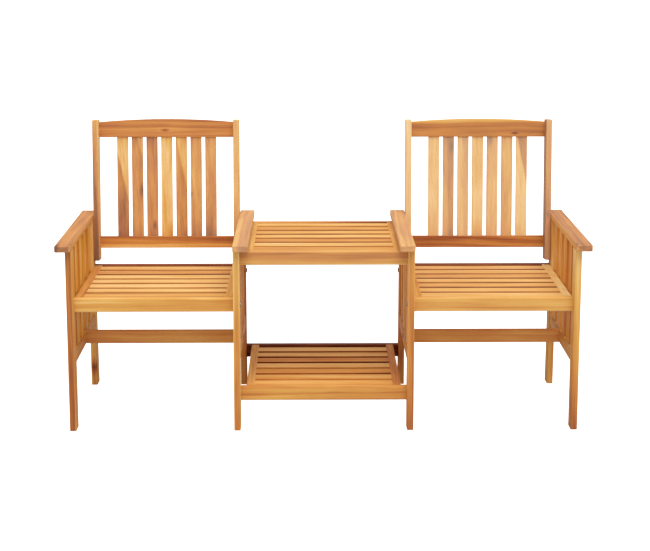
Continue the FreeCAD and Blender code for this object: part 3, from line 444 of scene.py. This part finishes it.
# The seat rear rails are very dark: partly their own dark oiled wood, partly painted shade
for side in ("left", "right"):
    board(f"{side}_seat_rear_rail", "xz", {"Tone": 0.88, "Rosy": 0.5})
board("table_front_rail", "xz", {"Tone": 0.49, "Zone": 0.16, "Pale": 0.07, "Edge": -0.27})
board("table_rear_rail", "xz", {"Tone": 0.62, "Drift": 0.6})
board("table_left_rail", "yz", {"Tone": 0.28})
board("table_right_rail", "yz", {"Tone": 0.34, "Rosy": 0.3})
board_row("table_slats", "xy", SLAT_WIDTH,
          tones(0.32, 0.22, 0.38, 0.25, 0.29, 0.36, 0.22, Rosy=0.1, **TABLE_GAP))
board("shelf_front_rail", "xz", {"Tone": 0.43})
board("shelf_rear_rail", "xz", {"Tone": 0.92, "Rosy": 0.5})
board("shelf_left_rail", "yz", {"Tone": 0.42, "Rosy": 0.3, "Zone": -0.25, "Place": 0.006})
board("shelf_right_rail", "yz", {"Tone": 0.48, "Rosy": 0.5})
board_row("shelf_slats", "xy", SLAT_WIDTH,
          [{"Tone": tone, "Edge": painted_side_shade, **SHELF_LOOK} for tone, painted_side_shade in SHELF_SLATS])

# The backrests, each row of slats from left to right. A slat has painted shade where it runs into a rail

BACK_SLAT_WIDTH = 0.0374
BACK_SLAT_PAINTED_SHADE = 0.14
LEFT_BACK_SLATS = (
    {"Tone": 0.46, "Zone": -0.45, "Place": 0.0085, "Slant": 0.238, "Drift": -0.3, "Pale": 0.11},
    {"Tone": 0.41, "Zone": -0.25, "Place": 0.0415, "Slant": 0.267, "Pale": 0.12,
     "Knot along": -0.01, "Knot across": 0.0165, "Knot size": 0.013},
    {"Tone": 0.52, "Rosy": 0.4, "Drift": -0.2, "Pale": 0.12,
     "Knot along": -0.128, "Knot across": 0.008, "Knot size": 0.009},
    {"Tone": 0.13, "Pale": 0.03},
    {"Tone": 0.38, "Zone": -0.25, "Place": 0.018, "Slant": 0.215, "Drift": -0.4, "Pale": 0.09},
    {"Tone": 0.44, "Drift": -0.5, "Pale": 0.13,
     "Knot along": -0.023, "Knot across": -0.015, "Knot size": 0.005},
    {"Tone": 0.5, "Drift": -0.8, "Pale": 0.16},
)
# On the right backrest's slats and posts, the pale share is partly paler wood and partly painted sheen
RIGHT_BACK_SLATS = (
    {"Tone": 0.11, "Pale": 0.33},
    {"Tone": 0.5, "Zone": 0.2, "Pale": 0.29, "Drift": 0.2,
     "Knot along": 0.133, "Knot across": 0.012, "Knot size": 0.012},
    {"Tone": 0.33, "Zone": 0.26, "Slant": 0.02, "Pale": 0.36, "Drift": 0.3},
    {"Tone": 0.12, "Pale": 0.26},
    {"Tone": 0.33, "Zone": -0.08, "Pale": 0.34, "Rosy": 0.3, "Drift": 0.2,
     "Knot along": 0.16, "Knot across": -0.01, "Knot size": 0.014},
    {"Tone": 0.34, "Pale": 0.25},
    {"Tone": 0.31, "Zone": 0.5, "Place": 0.0214, "Slant": 0.206, "Pale": 0.27},
)

# The left outer post is dark, and darker towards its foot: partly its own wood, partly painted shade under
# the armrest. Face shading paints light on its sides, and shade on the right outer post's sides
board("left_back_outer_post", "zx", {"Tone": 0.65, "Zone": -0.3, "Place": 0.002, "Slant": 0.048,
                                     "Drift": -0.8, "Edge": -0.35, "Pale": 0.12})
board("left_back_inner_post", "zx", {"Tone": 0.37, "Pale": 0.21})
board("right_back_inner_post", "zx", {"Tone": 0.18, "Pale": 0.46, "Drift": -0.05})
board("right_back_outer_post", "zx", {"Tone": 0.55, "Edge": 0.3, "Rosy": 0.2, "Pale": 0.26, "Drift": -0.5,
                                      "Knot along": -0.08, "Knot across": 0.0, "Knot size": 0.008})
board("left_back_bottom_rail", "xz", {"Tone": 0.41, "Zone": 0.28, "Place": -0.0055, "Rosy": 0.2})
board("right_back_bottom_rail", "xz", {"Tone": 0.66, "Drift": -0.3})
board("left_back_top_rail", "xz", {"Tone": 0.51, "Rosy": 0.3, "Pale": 0.04,
                                   "Knot along": -0.004, "Knot across": -0.006, "Knot size": 0.008})
board("right_back_top_rail", "xz", {"Tone": 0.34, "Zone": -0.36, "Place": 0.0205, "Pale": 0.05,
                                    "Knot along": 0.124, "Knot across": -0.017, "Knot size": 0.007})
for side, looks in (("left", LEFT_BACK_SLATS), ("right", RIGHT_BACK_SLATS)):
    board_row(f"{side}_back_slats", "zx", BACK_SLAT_WIDTH,
              [{"Joint": BACK_SLAT_PAINTED_SHADE, **look} for look in looks])

# The dowels, which no view shows

for name in ("armrest_dowels", "rail_dowels"):
    board(name, "zx", {"Tone": 0.3})

# The bolts, nuts and inserts: dulled zinc-plated steel with a faint mottle

STEEL_TONES = ((0.3, (0.34, 0.24, 0.16)), (0.7, (0.50, 0.37, 0.25)))
MOTTLE_WAVES = (400.0, 400.0, 400.0)
MOTTLE_ROUGHNESS = 0.3
STEEL_ROUGHNESS = 0.25


def make_steel():
    """One steel for every fastener."""
    material = new_material("bolt_steel")
    tree = material.node_tree
    mottle = noise(tree, add(tree, "ShaderNodeTexCoord").outputs["Object"], MOTTLE_WAVES, 0.0)
    lay_surface(tree, {"Base Color": ramp(tree, mottle, STEEL_TONES), "Metallic": 1.0,
                       "Roughness": weigh(tree, (mottle, MOTTLE_ROUGHNESS), (1.0, STEEL_ROUGHNESS))})
    return material


STEEL = make_steel()
for name in ("rail_bolts", "table_rear_bolts", "back_bolts", "rail_barrel_nuts", "back_threaded_inserts"):
    put_on(name, STEEL)


# The studio: a wide pale floor, soft light all round and a key light high in front

WHITE = (1.0, 1.0, 1.0, 1.0)
FLOOR_SIZE = 80.0
FLOOR_GREY = (0.65, 0.65, 0.65, 1.0)
SOFT_LIGHT = 0.69
KEY_LIGHT = 1.88
KEY_LIGHT_SPREAD = 45.0
KEY_LIGHT_TOWARDS = (-0.1, 0.5, -1.0)


def light_for_the_eye(tree, seen, other):
    """A factor that is one value for what the camera sees directly and another for all other light."""
    eye = add(tree, "ShaderNodeLightPath").outputs["Is Camera Ray"]
    return calc(tree, "MULTIPLY_ADD", eye, seen - other, other)


def make_floor():
    """A matt floor that the camera sees as plain white."""
    bpy.ops.mesh.primitive_plane_add(size=FLOOR_SIZE, location=(0.0, 0.0, 0.0))
    floor = bpy.context.object
    floor.name = "studio_floor"
    material = new_material("pale_floor")
    tree = material.node_tree
    glow = light_for_the_eye(tree, seen=1.0, other=0.0)
    lay_surface(tree, {"Base Color": FLOOR_GREY, "Roughness": 1.0, "Specular IOR Level": 0.0,
                       "Emission Color": WHITE, "Emission Strength": glow})
    floor.data.materials.append(material)


def make_world():
    """White air, which the camera sees brighter than it lights the bench."""
    world = bpy.data.worlds.new("studio_air")
    bpy.context.scene.world = world
    world.use_nodes = True
    tree = world.node_tree
    feed_by_name(tree, tree.nodes["Background"],
                 {"Color": WHITE, "Strength": light_for_the_eye(tree, seen=1.0, other=SOFT_LIGHT)})


def make_key_light():
    """A broad sun, so that the shadows are soft."""
    light = bpy.data.lights.new("key_light", "SUN")
    light.energy = KEY_LIGHT
    light.angle = math.radians(KEY_LIGHT_SPREAD)
    lamp = bpy.data.objects.new("key_light", light)
    bpy.context.scene.collection.objects.link(lamp)
    lamp.rotation_euler = Vector(KEY_LIGHT_TOWARDS).to_track_quat("-Z", "Y").to_euler()


make_floor()
make_world()
make_key_light()


# The camera, fitted to the photograph: metres, degrees down and round, and millimetres of lens and film

CAMERA_PLACE = (-0.043, -4.912, 1.5489)
CAMERA_DOWN = 10.436
CAMERA_TURN = -0.574
CAMERA_LENS = 86.18
CAMERA_FILM = 36.0
CAMERA_FALL = -0.1

camera_data = bpy.data.cameras.new("camera")
camera_data.lens = CAMERA_LENS
camera_data.sensor_width = CAMERA_FILM
camera_data.shift_y = CAMERA_FALL
camera = bpy.data.objects.new("camera", camera_data)
bpy.context.scene.collection.objects.link(camera)
camera.location = CAMERA_PLACE
camera.rotation_euler = (math.radians(90.0 - CAMERA_DOWN), 0.0, math.radians(CAMERA_TURN))
bpy.context.scene.camera = camera

bpy.context.scene.view_settings.view_transform = "Standard"
bpy.context.scene.view_settings.look = "None"
